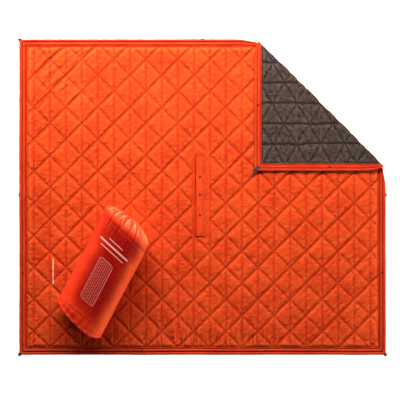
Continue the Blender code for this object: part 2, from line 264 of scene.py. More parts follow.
def shell_material():
    g = Graph("shell_nylon", (0.60, 0.058, 0.010), 0.82)
    u, v, uv = g.flat()
    du = g.math("SUBTRACT", u, QUILT_X)
    dv = g.math("SUBTRACT", v, QUILT_Y)
    vertical = near_line(g, du, QUILT_P, 1.0)
    rising = near_line(g, g.math("SUBTRACT", du, dv), 2 * QUILT_P, 1 / SQ2)
    falling = near_line(g, g.math("ADD", du, dv), 2 * QUILT_P, 1 / SQ2)
    # the sewn lines painted darker: partly the thread, mostly painted shade in the stitched grooves, strongest on the
    # rising rows, which lie across the light
    dark_v = g.range(vertical, 0.0003, 0.0024, 0.24, 0.0)
    dark_f = g.range(falling, 0.0003, 0.0026, 0.30, 0.0)
    dark_r = g.range(rising, 0.0004, 0.0034, 0.50, 0.0)
    seam_shade = g.math("MAXIMUM", g.math("MAXIMUM", dark_v, dark_f), dark_r)
    seam_shade = g.math("MULTIPLY", seam_shade, g.range(g.noise(4.5, 2.0, 0.5), 0.35, 0.65, 0.55, 1.15))
    broad = g.noise(7.0, 3.0, 0.55)
    fine = g.noise(70.0, 3.0, 0.6)
    base = g.mix(g.range(broad, 0.3, 0.7), (0.52, 0.045, 0.0080), (0.62, 0.070, 0.0120))
    base = g.mix(g.math("MULTIPLY", g.range(fine, 0.50, 0.72), 0.22), base, (0.72, 0.103, 0.021))
    base = g.mix(g.math("MULTIPLY", g.range(fine, 0.46, 0.28), 0.22), base, (0.46, 0.030, 0.006))
    # painted shade in the quilting's hollows and painted highlight on its puffs
    base = g.paint_shade_and_highlight(base, (0.46, (0.33, 0.016, 0.003)), (0.55, (0.74, 0.122, 0.026)))
    base = g.mix(seam_shade, base, (0.22, 0.009, 0.003))
    # one plain pale bar, printed near the left edge
    bar = g.math("MULTIPLY", g.range(g.math("ABSOLUTE", g.math("SUBTRACT", u, -0.7243)), 0.0028, 0.0036, 1.0, 0.0), g.range(g.math("ABSOLUTE", g.math("SUBTRACT", v, -0.361)), 0.062, 0.063, 1.0, 0.0))
    base = g.mix(g.math("MULTIPLY", bar, 0.75), base, (0.85, 0.50, 0.40))
    thread = g.math("MINIMUM", g.math("MINIMUM", vertical, rising), falling)
    groove = g.range(thread, 0.0, 0.0035)
    crease = g.noise(44.0, 5.0, 0.65, uv, 0.9)
    n1 = g.bump(groove, 0.0012, 0.5)
    n2 = g.bump(crease, 0.0085, 0.60, n1)
    n3 = weave(g, u, v, 0.0011, 0.10, n2)
    g.shader.inputs["Sheen Weight"].default_value = 0.04
    g.shader.inputs["Sheen Roughness"].default_value = 0.45
    g.shader.inputs["Sheen Tint"].default_value = (1.0, 0.42, 0.22, 1)
    g.shader.inputs["Specular IOR Level"].default_value = 0.09
    return g.done(base, n3, g.range(fine, 0.3, 0.7, 0.76, 0.90))


def binding_material():
    g = Graph("binding_nylon", (0.56, 0.050, 0.010), 0.80)
    s, w, uv = g.flat()
    broad = g.noise(9.0, 3.0, 0.55)
    pucker = g.noise(60.0, 3.0, 0.55, uv, 0.4)
    base = g.mix(g.range(broad, 0.3, 0.7), (0.50, 0.041, 0.009), (0.61, 0.062, 0.013))
    # painted shade in the tape's stitched grooves, at its rounded outer edge and where it meets the quilt; the dashed
    # thread comes after
    groove_and_edge_shade = None
    for at in (0.0145, 0.0305):
        near = g.math("ABSOLUTE", g.math("SUBTRACT", w, at))
        painted_dark = g.range(near, 0.0005, 0.0044, 0.95, 0.0)
        groove_and_edge_shade = painted_dark if groove_and_edge_shade is None else g.math("MAXIMUM", groove_and_edge_shade, painted_dark)
    edge = g.range(w, 0.0005, 0.0055, 0.60, 0.0)
    inner = g.range(w, 0.0335, 0.0360, 0.0, 0.75)
    groove_and_edge_shade = g.math("MAXIMUM", g.math("MAXIMUM", groove_and_edge_shade, edge), inner)
    dash = g.range(g.math("PINGPONG", g.math("DIVIDE", s, 0.0036), 0.5), 0.10, 0.24)
    stitch = None
    for at in (0.0145, 0.0305):
        near = g.math("ABSOLUTE", g.math("SUBTRACT", w, at))
        on = g.math("MULTIPLY", g.range(near, 0.0003, 0.0008, 1.0, 0.0), dash)
        stitch = on if stitch is None else g.math("MAXIMUM", stitch, on)
    base = g.mix(groove_and_edge_shade, base, (0.24, 0.009, 0.003))
    base = g.mix(g.math("MULTIPLY", stitch, 0.65), base, (0.46, 0.040, 0.012))
    n1 = g.bump(pucker, 0.0035, 0.5)
    n2 = g.bump(stitch, 0.0005, 0.7, n1)
    n3 = weave(g, s, w, 0.0012, 0.15, n2)
    g.shader.inputs["Sheen Weight"].default_value = 0.04
    g.shader.inputs["Sheen Roughness"].default_value = 0.4
    g.shader.inputs["Sheen Tint"].default_value = (1.0, 0.42, 0.22, 1)
    g.shader.inputs["Specular IOR Level"].default_value = 0.09
    return g.done(base, n3)


def fleece_material():
    g = Graph("fleece", (0.050, 0.032, 0.025), 0.95)
    x, y, uv = g.flat()
    dx = g.math("DIVIDE", g.math("SUBTRACT", x, ROW_X), ROW_W)
    dy = g.math("DIVIDE", g.math("SUBTRACT", y, ROW_Y), 2 * ROW_P)
    row = near_line(g, g.math("SUBTRACT", y, ROW_Y), ROW_P, 1.0)
    tilt = ROW_W * 0.865
    a = g.math("MULTIPLY", g.math("PINGPONG", g.math("ADD", dx, dy), 0.5), tilt)
    b = g.math("MULTIPLY", g.math("PINGPONG", g.math("SUBTRACT", dx, dy), 0.5), tilt)
    # painted shade in the lining's sewn grooves, along its rows and slanted lines
    painted_dark = g.math("MAXIMUM", g.range(row, 0.0008, 0.0050, 0.85, 0.0), g.range(g.math("MINIMUM", a, b), 0.0005, 0.0034, 0.50, 0.0))
    fuzz = g.noise(300.0, 4.0, 0.75)
    clump = g.noise(75.0, 5.0, 0.7)
    broad = g.noise(14.0, 3.0, 0.6)
    base = g.mix(g.range(clump, 0.34, 0.66), (0.010, 0.0062, 0.0044), (0.104, 0.0665, 0.0505))
    base = g.mix(g.math("MULTIPLY", g.range(broad, 0.35, 0.65), 0.5), base, (0.058, 0.038, 0.031))
    base = g.mix(g.math("MULTIPLY", g.range(fuzz, 0.5, 0.75), 0.45), base, (0.260, 0.180, 0.140))
    # painted shade in the lining's hollows and painted highlight on its ridges
    base = g.paint_shade_and_highlight(base, (0.70, (0.012, 0.008, 0.006)), (0.60, (0.190, 0.128, 0.100)))
    base = g.mix(painted_dark, base, (0.010, 0.006, 0.005))
    n1 = g.bump(clump, 0.0075, 0.85)
    n2 = g.bump(fuzz, 0.0025, 0.80, n1)
    g.shader.inputs["Sheen Weight"].default_value = 0.15
    g.shader.inputs["Sheen Roughness"].default_value = 0.6
    g.shader.inputs["Sheen Tint"].default_value = (0.75, 0.62, 0.55, 1)
    g.shader.inputs["Specular IOR Level"].default_value = 0.1
    return g.done(base, n2)


def webbing_material():
    g = Graph("webbing", (0.060, 0.048, 0.022), 0.82)
    u, v, uv = g.flat()
    rib = g.math("SINE", g.math("MULTIPLY", u, 2 * math.pi / 0.0016))
    edge = g.math("SINE", g.math("MULTIPLY", v, 2 * math.pi / 0.0012))
    speck = g.noise(600.0, 2.0, 0.6)
    base = g.mix(g.range(rib, -0.6, 0.8), (0.020, 0.016, 0.008), (0.072, 0.058, 0.027))
    base = g.mix(g.math("MULTIPLY", g.range(speck, 0.4, 0.7), 0.4), base, (0.16, 0.135, 0.07))
    n = g.bump(rib, 0.0005, 0.8)
    n = g.bump(edge, 0.0002, 0.5, n)
    return g.done(base, n)


def snap_material():
    g = Graph("snap_plastic", (0.100, 0.007, 0.005), 0.55)
    speck = g.noise(900.0, 3.0, 0.6)
    wear = g.noise(160.0, 3.0, 0.6)
    base = g.mix(g.range(wear, 0.35, 0.7), (0.070, 0.005, 0.004), (0.150, 0.010, 0.007))
    g.shader.inputs["Specular IOR Level"].default_value = 0.25
    return g.done(base, g.bump(speck, 0.0001, 0.5), g.range(wear, 0.3, 0.7, 0.48, 0.62))


def sack_material():
    g = Graph("sack_nylon", (0.60, 0.02, 0.01), 0.42)
    u, v, uv = g.flat()  # u runs round the sack from its top, v along it from the base
    middle = g.math("ABSOLUTE", g.math("SUBTRACT", u, 0.007))
    wander = g.noise(9.0, 2.0, 0.5, uv)
    band = g.math("ADD", middle, g.math("MULTIPLY", g.math("SUBTRACT", wander, 0.5), 0.05))
    ends = g.math("MULTIPLY", g.range(v, 0.02, 0.11), g.range(v, 0.40, 0.485, 1.0, 0.0))
    low = g.range(v, -0.02, 0.10)
    neck = g.math("MULTIPLY", g.range(v, 0.33, 0.40), g.range(v, 0.455, 0.485, 1.0, 0.0))
    # painted sheen: a dark band along the top, where the fabric faces up, and painted shade just under the mouth's
    # gathered rim
    narrow = g.math("MULTIPLY", g.range(band, 0.030, 0.120, 1.0, 0.0), g.math("MULTIPLY", g.math("ADD", g.math("MULTIPLY", low, 0.75), 0.25), g.range(v, 0.44, 0.485, 1.0, 0.0)))
    wide = g.math("MULTIPLY", g.range(band, 0.060, 0.150, 0.85, 0.0), neck)
    painted_dark = g.math("MAXIMUM", narrow, wide, None)
    broad = g.noise(11.0, 3.0, 0.55)
    fine = g.noise(90.0, 3.0, 0.6)
    side = g.mix(g.range(broad, 0.3, 0.7), (0.54, 0.029, 0.005), (0.66, 0.044, 0.008))
    # painted light: the right flank, as the sack lies, lighter than the rest
    side = g.mix(g.math("MULTIPLY", g.range(u, 0.045, 0.125), 0.9), side, (1.0, 0.135, 0.030))
    base = g.mix(painted_dark, side, (0.27, 0.003, 0.0008))
    base = g.mix(g.math("MULTIPLY", g.range(fine, 0.45, 0.7), 0.12), base, (0.95, 0.09, 0.02))
    scaled = g.node("ShaderNodeMapping")
    scaled.inputs["Scale"].default_value = (95.0, 14.0, 1.0)
    g.link(uv, scaled.inputs["Vector"])
    # painted highlight: pale streaks on the mouth's gathered rim
    highlight_streak = g.range(g.noise(1.0, 3.0, 0.6, scaled.outputs[0], 0.3), 0.44, 0.66)
    rim = g.math("MULTIPLY", g.range(v, 0.478, 0.500), g.range(v, 0.516, 0.540, 1.0, 0.35))
    base = g.mix(g.math("MULTIPLY", g.math("MULTIPLY", rim, highlight_streak), 0.62), base, (1.0, 0.40, 0.21))
    # a plain dotted patch and three plain bars, printed along the middle
    px = g.math("ABSOLUTE", g.math("SUBTRACT", u, -0.006))
    py = g.math("ABSOLUTE", g.math("SUBTRACT", v, 0.190))
    round_x = g.math("MAXIMUM", g.math("SUBTRACT", px, 0.018), 0.0)
    round_y = g.math("MAXIMUM", g.math("SUBTRACT", py, 0.095), 0.0)
    corner = g.math("SQRT", g.math("ADD", g.math("MULTIPLY", round_x, round_x), g.math("MULTIPLY", round_y, round_y)))
    patch = g.range(corner, 0.0140, 0.0150, 1.0, 0.0)
    dx = g.math("PINGPONG", g.math("DIVIDE", u, 0.0080), 0.5)
    dy = g.math("PINGPONG", g.math("DIVIDE", v, 0.0080), 0.5)
    dots = g.math("SQRT", g.math("ADD", g.math("MULTIPLY", dx, dx), g.math("MULTIPLY", dy, dy)))
    dots = g.math("MULTIPLY", g.range(dots, 0.20, 0.30, 1.0, 0.0), patch)
    rim = g.math("MULTIPLY", g.range(corner, 0.0122, 0.0132), patch)
    bars = None
    for at, half, width in ((0.345, 0.060, 0.0016), (0.368, 0.078, 0.0036), (0.392, 0.034, 0.0016)):
        on = g.math("MULTIPLY", g.range(g.math("ABSOLUTE", g.math("SUBTRACT", v, at)), width, width + 0.0008, 1.0, 0.0), g.range(px, half, half + 0.001, 1.0, 0.0))
        bars = on if bars is None else g.math("MAXIMUM", bars, on)
    ink = g.math("MULTIPLY", g.math("MAXIMUM", g.math("MAXIMUM", g.math("MULTIPLY", dots, 0.6), g.math("MULTIPLY", rim, 0.7)), bars), 0.75)
    base = g.mix(ink, base, (0.80, 0.42, 0.36))
    crease = g.noise(26.0, 4.0, 0.55, uv, 0.8)
    n1 = g.bump(crease, 0.006, 0.5)
    n2 = weave(g, u, v, 0.0010, 0.08, n1)
    g.shader.inputs["Sheen Weight"].default_value = 0.03
    g.shader.inputs["Sheen Roughness"].default_value = 0.3
    g.shader.inputs["Sheen Tint"].default_value = (1.0, 0.45, 0.25, 1)
    g.shader.inputs["Specular IOR Level"].default_value = 0.09
    return g.done(base, n2, g.range(broad, 0.3, 0.7, 0.50, 0.62))


SHELL, BINDING, FLEECE = shell_material(), binding_material(), fleece_material()
WEBBING, SNAP, SACK = webbing_material(), snap_material(), sack_material()


# ---------------------------------------------------------------- the face's relief
def warp(x, y):
    """Sewn lines wander a little from where they were drawn."""
    return x + 0.0022 * noise(x, y, 0.16, 5, 2), y + 0.0022 * noise(x, y, 0.16, 6, 2)


def lines(x, y):
    """Distances to the vertical, falling and rising sewn lines."""
    u, v = x - QUILT_X, y - QUILT_Y
    near = lambda t: np.abs(t - np.round(t))
    return (near(u / QUILT_P) * QUILT_P, near((u + v) / (2 * QUILT_P)) * SQ2 * QUILT_P, near((u - v) / (2 * QUILT_P)) * SQ2 * QUILT_P)


CELLS = 12
SIM_H = QUILT_P / CELLS


def inflate():
    """Pressure blows up a flat sheet that is held along the sewn lines, a little larger than what it is sewn to, so that it puckers. Returns a height at each lattice point."""
    spans = []
    for origin, half in ((QUILT_X, 0.8585), (QUILT_Y, 0.7350)):
        lo, hi = math.floor((-half - origin) / SIM_H), math.ceil((half - origin) / SIM_H)
        spans.append(np.arange(lo, hi + 1))
    i, j = np.meshgrid(*spans, indexing="ij")
    x, y = QUILT_X + SIM_H * i, QUILT_Y + SIM_H * j
    sewn = (i % CELLS == 0) | ((i + j) % (2 * CELLS) == 0) | ((i - j) % (2 * CELLS) == 0)
    sewn[0] = sewn[-1] = True
    sewn[:, 0] = sewn[:, -1] = True
    d = np.minimum.reduce(lines(x, y))
    start = 0.0012 * np.minimum(d / 0.02, 1) + np.random.default_rng(11).normal(0, 0.0001, x.shape)
    start[sewn] = 0
    mesh = bpy.data.meshes.new("sim")
    mesh.from_pydata(np.stack([x, y, start], -1).reshape(-1, 3).tolist(), [], grid_faces(*x.shape).tolist())
    mesh.update()
    sheet = bpy.data.objects.new("sim", mesh)
    bpy.context.scene.collection.objects.link(sheet)
    sheet.vertex_groups.new(name="sewn").add(np.flatnonzero(sewn.ravel()).tolist(), 1.0, "REPLACE")
    cloth = sheet.modifiers.new("Cloth", "CLOTH")
    s = cloth.settings
    s.quality, s.mass, s.air_damping = 5, 0.1, 3.0
    s.tension_stiffness, s.compression_stiffness, s.shear_stiffness, s.bending_stiffness = SIM_STIFF
    s.vertex_group_mass = "sewn"
    s.shrink_min = SIM_GROW
    s.use_pressure, s.uniform_pressure_force = True, SIM_PRESSURE
    s.effector_weights.gravity = 0
    cloth.collision_settings.use_collision = False
    for f in range(1, SIM_FRAMES + 1):
        bpy.context.scene.frame_set(f)
    solved = sheet.evaluated_get(bpy.context.evaluated_depsgraph_get()).data
    co = np.zeros(x.size * 3)
    solved.vertices.foreach_get("co", co)
    height = co.reshape(*x.shape, 3)[..., 2].copy()
    bpy.data.objects.remove(sheet, do_unlink=True)
    bpy.context.scene.frame_set(1)
    return spans, height


SIM_STIFF, SIM_GROW, SIM_PRESSURE, SIM_FRAMES = (12, 8, 3, 3.0), -0.012, 4.0, 12
(SIM_I, SIM_J), SIM_Z = inflate()


def sampled(x, y):
    """The simulated height anywhere, by Catmull-Rom from the lattice."""
    fi, fj = (x - QUILT_X) / SIM_H - SIM_I[0], (y - QUILT_Y) / SIM_H - SIM_J[0]
    i0, j0 = np.floor(fi).astype(int), np.floor(fj).astype(int)
    ti, tj = fi - i0, fj - j0

    def weights(t):
        return [(-t + 2 * t**2 - t**3) / 2, (2 - 5 * t**2 + 3 * t**3) / 2, (t + 4 * t**2 - 3 * t**3) / 2, (-(t**2) + t**3) / 2]

    wi, wj = weights(ti), weights(tj)
    out = 0.0
    for a in range(4):
        for b in range(4):
            ii = np.clip(i0 + a - 1, 0, SIM_Z.shape[0] - 1)
            jj = np.clip(j0 + b - 1, 0, SIM_Z.shape[1] - 1)
            out = out + wi[a] * wj[b] * SIM_Z[ii, jj]
    return out


def face_height(x, y):
    wx, wy = warp(x, y)
    vertical, falling, rising = lines(wx, wy)
    soft = lambda d, depth, reach: 1 - depth * np.exp(-d / reach)
    low_left = smooth(0.95, 0.35, np.hypot(x + HX, y + HY))
    vary = 0.16 * noise(x, y, 0.12, 20, 2)
    low_right = smooth(0.80, 0.15, np.hypot(x - HX + 0.10, y + HY - 0.10))
    high_left = smooth(0.60, 0.10, np.hypot(x + HX - 0.10, y - HY + 0.10))
    deep = np.maximum(low_right, high_left)
    pillow = soft(vertical, 0.30 + vary, 0.0055) * soft(falling, 0.44 + vary + 0.50 * low_left, 0.0065) * soft(rising, 0.82 + 0.5 * vary + 0.18 * deep - 0.2 * low_left, 0.0075 + 0.0065 * deep)
    z = FACE_STITCH_Z + (FACE_LOFT + 0.0010 * deep) * pillow
    z += SIM_SHARE * sampled(wx, wy)
    z += 0.0016 * noise(x, y, 0.034, 21, 4, 0.6) * (0.3 + 0.7 * pillow)
    z += 0.0012 * noise(x, y, 0.22, 22, 2)
    # long slack folds along the rising rows, most of all by the upper left corner
    slant = noise((x - y) / SQ2 + 0.010 * noise(x, y, 0.09, 24, 1), (x + y) / SQ2 * 0.16, 0.021, 23, 2)
    z += slant * (0.0010 + 0.0020 * low_right + 0.0046 * smooth(0.42, 0.08, np.hypot((x + HX - 0.12) * 0.8, y - HY + 0.10)))
    # gathers, square to each hem and strongest along the bottom
    left, right, low, high = x + HX - BIND_W, HX - BIND_W - x, y + HY - BIND_W, HY - BIND_W - y
    for away, along, across, amount, reach, size, seed in ((low, x, y, 0.0100, 0.075, 0.0140, 31), (high, x, y, 0.0016, 0.035, 0.0100, 32), (left, y, x, 0.0022, 0.040, 0.0100, 33), (right, y, x, 0.0034, 0.050, 0.0100, 34)):
        waves = noise(along + 0.12 * noise(x, y, 0.12, seed + 10, 1) * 0.2, across * 0.16, size, seed, 2)
        patchy = 0.55 + 0.45 * noise(along, across * 0.2, 0.16, seed + 5, 1)
        z += amount * waves * patchy * np.exp(-np.maximum(away, 0) / reach)
    # tension folds that run in from the lower corners
    for cx, cy, amount, seed in ((-HX, -HY, 0.0022, 42), (HX, -HY, 0.0022, 43)):
        dx, dy = x - cx, y - cy
        r, angle = np.hypot(dx, dy), np.arctan2(dy, dx)
        z += amount * noise(angle * 0.30, r * 0.10, 0.022, seed, 2) * np.exp(-((r - 0.09) / 0.11) ** 2)
    # sewn flat and a little raised beside the neck slit
    flat = smooth(0.022, 0.006, np.maximum(np.maximum(PLACKET_X[0] - 0.004 - x, x - 0.0195), np.maximum(PLACKET_Y[0] - 0.004 - y, y - PLACKET_Y[1] - 0.004)))
    z = z * (1 - flat) + 0.0112 * flat
    # capped in height everywhere, and pressed lower under the turned-over corner
    pressed = smooth(-0.02, 0.02, np.minimum(x - (FOLD_SUM - HY), y - (FOLD_SUM - HX)))
    cap = 0.0140 - 0.0018 * pressed
    z = z - 0.0009 * np.log1p(np.exp(np.clip((z - cap) / 0.0009, -30, 30)))
    # down into the binding
    edge = np.minimum(np.minimum(left, right), np.minimum(low, high))
    return FACE_STITCH_Z - 0.0008 + (z - FACE_STITCH_Z + 0.0008) * smooth(-0.002, 0.016, edge)


SIM_SHARE = 0.6


def row_lines(x, y):
    """Distances on the lining to its rows and to its two slanted families, from a place in the folded corner."""
    near = lambda t: np.abs(t - np.round(t))
    a, b = (x - ROW_X) / ROW_W, (y - ROW_Y) / (2 * ROW_P)
    return near(2 * b) * ROW_P, near(a + b) * ROW_W * 0.865, near(a - b) * ROW_W * 0.865


def row_warp(x, y):
    return x + 0.0070 * noise(x, y, 0.11, 8, 2), y + 0.0085 * noise(x, y, 0.12, 9, 2)


def back_height(x, y):
    """The lining's underside: on the ground, and drawn up along the sewn lines."""
    fx, fy = FOLD_SUM - y, FOLD_SUM - x
    fx, fy = row_warp(fx, fy)
    row, a, b = row_lines(fx, fy)
    soft = lambda d, reach: np.exp(-d / reach)
    drawn = np.maximum(soft(row, 0.0105), 0.80 * np.maximum(soft(a, 0.0080), soft(b, 0.0080)))
    z = 0.0003 + 0.0050 * drawn + 0.0009 * (1 + noise(x, y, 0.028, 51, 4, 0.6)) * (1 - 0.5 * drawn)
    left, right, low, high = x + HX - BIND_W, HX - BIND_W - x, y + HY - BIND_W, HY - BIND_W - y
    edge = np.minimum(np.minimum(left, right), np.minimum(low, high))
    z = 0.0042 + (z - 0.0042) * smooth(-0.002, 0.014, edge)
    return np.clip(z, 0.0003, 0.0056)


# ---------------------------------------------------------------- quilted layers
def lattice(h):
    """Points that fall on the fold line, on the neck slit's edges and on the outline."""
    xs = np.arange(math.floor((-0.8560 - QUILT_X) / h), math.ceil((0.8560 - QUILT_X) / h) + 1) * h + QUILT_X
    y0 = FOLD_SUM - QUILT_X
    ys = np.arange(math.floor((-0.7325 - y0) / h), math.ceil((0.7325 - y0) / h) + 1) * h + y0
    return xs, ys


def blurred(z, h, sigma):
    k = int(math.ceil(2.5 * sigma / h))
    w = np.exp(-0.5 * (np.arange(-k, k + 1) * h / sigma) ** 2)
    w /= w.sum()
    padded = np.pad(z, k, mode="edge")
    rows = sum(w[i] * padded[i:i + z.shape[0], :] for i in range(2 * k + 1))
    return sum(w[i] * rows[:, i:i + z.shape[1]] for i in range(2 * k + 1))


def layer(height, h, flat_of, name, look, corner_name):
    xs, ys = lattice(h)
    x, y = np.meshgrid(xs, ys, indexing="ij")
    on_line = np.abs(x + y - FOLD_SUM) < h * 0.1
    # the neck slit
    ci = [int(np.argmin(np.abs(xs - v))) for v in SLOT_X]
    cj = [int(np.argmin(np.abs(ys - v))) for v in SLOT_Y]
    if ci[0] == ci[1]:
        ci[1] += 1
    x[ci[0], cj[0]:cj[1] + 1], x[ci[1], cj[0]:cj[1] + 1] = SLOT_X
    y[ci[0]:ci[1] + 1, cj[0]], y[ci[0]:ci[1] + 1, cj[1]] = SLOT_Y
    z = height(x, y)
    # how far each point lies below or above its blurred surroundings: the mask for the painted shade in hollows and
    # painted highlight on ridges, its sign turned for the lining
    cavity = np.clip((blurred(z, h, 0.0075) - z) / 0.0013, -1, 1) * (1 if name == "quilt_face" else -1)
    flat = np.stack(flat_of(x, y), -1)
    points = np.stack([x, y, z], -1)
    n, m = x.shape
    a = np.arange(n * m).reshape(n, m)
    quads = np.stack([a[:-1, :-1], a[1:, :-1], a[1:, 1:], a[:-1, 1:]], -1)
    hole = np.zeros(quads.shape[:2], bool)
    hole[ci[0]:ci[1], cj[0]:cj[1]] = True
    total = (x + y - FOLD_SUM)
    low = np.minimum(np.minimum(total[:-1, :-1], total[1:, :-1]), np.minimum(total[1:, 1:], total[:-1, 1:]))
    high = np.maximum(np.maximum(total[:-1, :-1], total[1:, :-1]), np.maximum(total[1:, 1:], total[:-1, 1:]))
    tiny = h * 0.1
    main_q, corner_q = (high < tiny) & ~hole, low > -tiny
    cut = (low < -tiny) & (high > tiny)
    cq = quads[cut]
    main_faces = quads[main_q].tolist() + cq[:, [0, 1, 3]].tolist()
    corner_faces = quads[corner_q].tolist() + cq[:, [1, 2, 3]].tolist()
    out = []
    for faces, put, label in ((main_faces, lambda p: p, name), (corner_faces, folded, corner_name)):
        used = np.unique(np.concatenate([np.asarray(f) for f in faces]))
        renumber = np.full(n * m, -1)
        renumber[used] = np.arange(len(used))
        p = points.reshape(-1, 3)[used]
        area = 0.0
        flat_points = p[:, :2]
        q = np.asarray([f for f in faces if len(f) == 4])
        area = len(q) * h * h + (len(faces) - len(q)) * h * h / 2
        out.append((label, put(p), [renumber[np.asarray(f)] for f in faces], flat.reshape(-1, 2)[used], area, cavity.ravel()[used]))
    line = points[on_line]
    line_flat = flat[on_line]
    order = np.argsort(line[:, 0])
    return out, line[order], line_flat[order]


def fold_strip(name, line, line_flat, look, body_pair=("blanket", "corner"), turns=18, outside=True):
    """Half a turn of cloth round the fold, from the blanket to the corner."""
    u = np.linspace(0, math.pi, turns + 1)
    r = (AXIS_Z - line[:, 2])[:, None]
    place = np.linspace(-1, 1, len(line))
    full = 1 + 0.3 * np.clip(1 - place**2, 0, 1) ** 0.8
    bulge = r * full[:, None] * np.sin(u)[None, :] / SQ2
    foot = np.stack([(FOLD_SUM + line[:, 0] - line[:, 1]) / 2, (FOLD_SUM - line[:, 0] + line[:, 1]) / 2], -1)
    points = np.stack([foot[:, :1] + bulge, foot[:, 1:] + bulge, AXIS_Z - r * np.cos(u)[None, :]], -1)
    faces = grid_faces(*points.shape[:2])
    faces = faces if outside else faces[:, ::-1]
    flat = np.repeat(line_flat[:, None, :], turns + 1, 1)
    piece = make(name, points, faces, look, flat, None)
    return piece


def bend(piece):
    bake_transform(piece)
    return piece


FACE_H = QUILT_P / 22
BACK_H = QUILT_P / 15
parts, face_line, face_line_flat = layer(face_height, FACE_H, warp, "quilt_face", SHELL, "corner_face")
(_, p, f, flat, face_area, cav), (_, cp, cf, cflat, corner_area, ccav) = parts
quilt_face = make("quilt_face", p, f, SHELL, flat, "blanket", {"cavity": cav})
corner_face = make("corner_face", cp, cf, SHELL, cflat, "corner", {"cavity": ccav})


def fleece_flat(x, y):
    return row_warp(FOLD_SUM - y, FOLD_SUM - x)


parts, back_line, back_line_flat = layer(back_height, BACK_H, fleece_flat, "quilt_back", FLEECE, "corner_back")
(_, p, f, flat, back_area, cav), (_, cp, cf, cflat, corner_back_area, ccav) = parts
quilt_back = make("quilt_back", p, [q[::-1] for q in f], FLEECE, flat, "blanket", {"cavity": cav})
corner_back = make("corner_back", cp, [q[::-1] for q in cf], FLEECE, cflat, "corner", {"cavity": ccav})

fleece_fold = fold_strip("fleece_fold", back_line, back_line_flat, FLEECE)
face_fold = fold_strip("face_fold", face_line, face_line_flat, SHELL, outside=False)
bend(fleece_fold)
bend(face_fold)


# ---------------------------------------------------------------- binding
def binding_profile(count_top=26):
    """(distance in from the edge, height) once round the folded tape, from its inner lower edge."""
    w = np.linspace(0.0030, BIND_W, count_top)
    ridge = lambda v, at, depth, width: -depth * np.exp(-(((v - at) / width) ** 2))
    top = BIND_TOP - 0.0003 + ridge(w, 0.0145, 0.0030, 0.0026) + ridge(w, 0.0305, 0.0028, 0.0024)
    top += 0.0014 * np.exp(-(((w - 0.0078) / 0.0042) ** 2)) + 0.0013 * np.exp(-(((w - 0.0225) / 0.0050) ** 2))
    top += -0.0012 * smooth(0.0325, BIND_W, w)
    r = (BIND_TOP - BIND_LOW) / 2
    mid = (BIND_TOP + BIND_LOW) / 2
    a = np.radians(np.linspace(-90, 90, 9)[:-1])
    nose = np.stack([0.0030 - 0.0030 * np.cos(a), mid + r * np.sin(a)], -1)
    low_w = np.linspace(BIND_W, 0.0045, 12)
    low = BIND_LOW + 0.0002 + 0.0008 * np.exp(-(((low_w - 0.0145) / 0.003) ** 2)) + 0.0008 * np.exp(-(((low_w - 0.0305) / 0.003) ** 2))
    return np.concatenate([np.stack([low_w, low], -1), nose, np.stack([w, top], -1)])


PROFILE = binding_profile()


def binding(name, corners, start, end, body, flip, first_pull, last_pull):
    """corners: ((x, y), (sx, sy), first angle, last angle) in order along the outline."""
    rows = []
    outer_lengths = None
    for w, z in PROFILE:
        pieces = [np.asarray(start(w), float)]
        for (cx, cy), (sx, sy), a0, a1 in corners:
            r = max(0.013 - 0.30 * w, 0.003)
            centre = np.array([cx - sx * (w + r), cy - sy * (w + r)])
            pieces.append((centre, r, a0, a1))
        pieces.append(np.asarray(end(w), float))
        path, flat_s = [], []
        nominal = 0.0
        here = pieces[0]
        for k in range(1, len(pieces)):
            target = pieces[k]
            goal = target[0] + target[1] * np.array([math.cos(target[2]), math.sin(target[2])]) if isinstance(target, tuple) else target
            count = binding.counts[name][k - 1]
            t = np.linspace(0, 1, count + 1)[:-1]
            path += [here + (goal - here) * v for v in t]
            here = goal
            if isinstance(target, tuple):
                centre, r, a0, a1 = target
                for v in np.linspace(0, 1, 9)[:-1]:
                    a = a0 + (a1 - a0) * v
                    path.append(centre + r * np.array([math.cos(a), math.sin(a)]))
                here = centre + r * np.array([math.cos(a1), math.sin(a1)])
        path.append(here)
        rows.append(np.array(path))
    rows = np.stack(rows, 1)  # (along, profile, 2)
    n, m = rows.shape[:2]
    middle = rows[:, len(PROFILE) // 2]
    s = np.concatenate([[0], np.cumsum(np.linalg.norm(np.diff(middle, axis=0), axis=1))])
    w = np.broadcast_to(PROFILE[:, 0], (n, m))
    z = np.broadcast_to(PROFILE[:, 1], (n, m)).copy()
    sg = np.broadcast_to(s[:, None], (n, m))
    upper = (z > (BIND_LOW + BIND_TOP) / 2).astype(float)
    fade = smooth(0, 0.03, s)[:, None] * smooth(0, 0.03, s[-1] - s)[:, None]
    z += upper * fade * (0.0006 * noise(sg, w * 0.6, 0.011, 61, 2) + 0.0006 * noise(sg, w * 0.3, 0.06, 62, 2) - 0.0001)
    # the whole edge wanders a little, in and out
    pulled = 0.017 * np.clip(1 - PROFILE[:, 0] / BIND_W, 0, 1)[None, :, None]
    for away, way in ((s, first_pull), (s[-1] - s, last_pull)):
        rows = rows + (np.clip(1 - away / 0.100, 0, 1) ** 2)[:, None, None] * pulled * np.array(way, float)
    tangent = np.gradient(rows, axis=0)
    tangent /= np.maximum(np.linalg.norm(tangent, axis=2, keepdims=True), 1e-9)
    inward = np.stack([-tangent[..., 1], tangent[..., 0]], -1)
    drift = (0.0011 * noise(sg, w * 0, 0.22, 63, 2) + 0.0006 * noise(sg, w * 0, 0.035, 64, 2) + 0.0006) * fade
    rows = rows + inward * drift[..., None]
    points = np.concatenate([rows, z[..., None]], -1)
    if flip:
        points = folded(points)
    flat = np.stack([sg, w], -1)
    pts, faces = tube(points)
    pts, faces = outward(pts, faces)
    return make(name, pts, faces, BINDING, flat, body), points, flat


